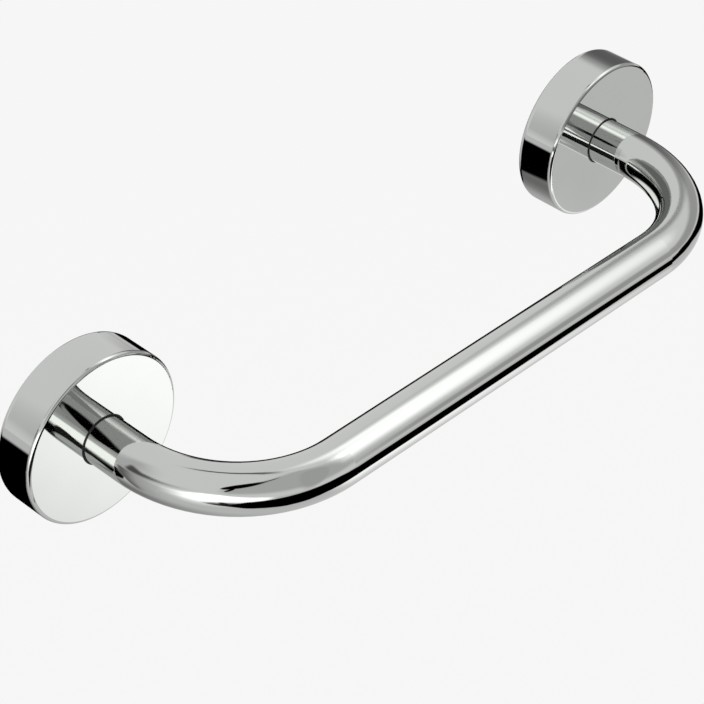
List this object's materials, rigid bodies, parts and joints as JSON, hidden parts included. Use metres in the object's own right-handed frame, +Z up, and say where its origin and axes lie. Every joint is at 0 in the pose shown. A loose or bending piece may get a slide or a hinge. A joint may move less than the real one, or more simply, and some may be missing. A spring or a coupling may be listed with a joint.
{
  "type": "grab bar",
  "caption": "Polished chrome wall grab bar: a round tube bent at right angles into thick round rosettes, with concealed wall discs and grub screws.",
  "frame": {"origin": "on the wall plane, midway between the rosettes' centres", "axes": "+X along the straight run of the bar, +Y into the wall, +Z up"},
  "size_m": [0.374, 0.1002, 0.074],
  "materials": {
    "polished_chrome": "polished",
    "black_rubber": "matte",
    "zinc_plated_steel": "satin",
    "stainless_steel": "satin",
    "turned_brass": "satin"
  },
  "bodies": {
    "root": {"bar": "polished_chrome", "left_rosette": "polished_chrome", "right_rosette": "polished_chrome", "left_joint_ring": "black_rubber", "right_joint_ring": "black_rubber", "left_end_plug": "turned_brass", "right_end_plug": "turned_brass", "left_clamp_bolt": "stainless_steel", "right_clamp_bolt": "stainless_steel", "left_lock_washer": "stainless_steel", "right_lock_washer": "stainless_steel", "left_wall_disc": "zinc_plated_steel", "right_wall_disc": "zinc_plated_steel", "left_grub_screw": "stainless_steel", "right_grub_screw": "stainless_steel"}
  },
  "joints": []
}
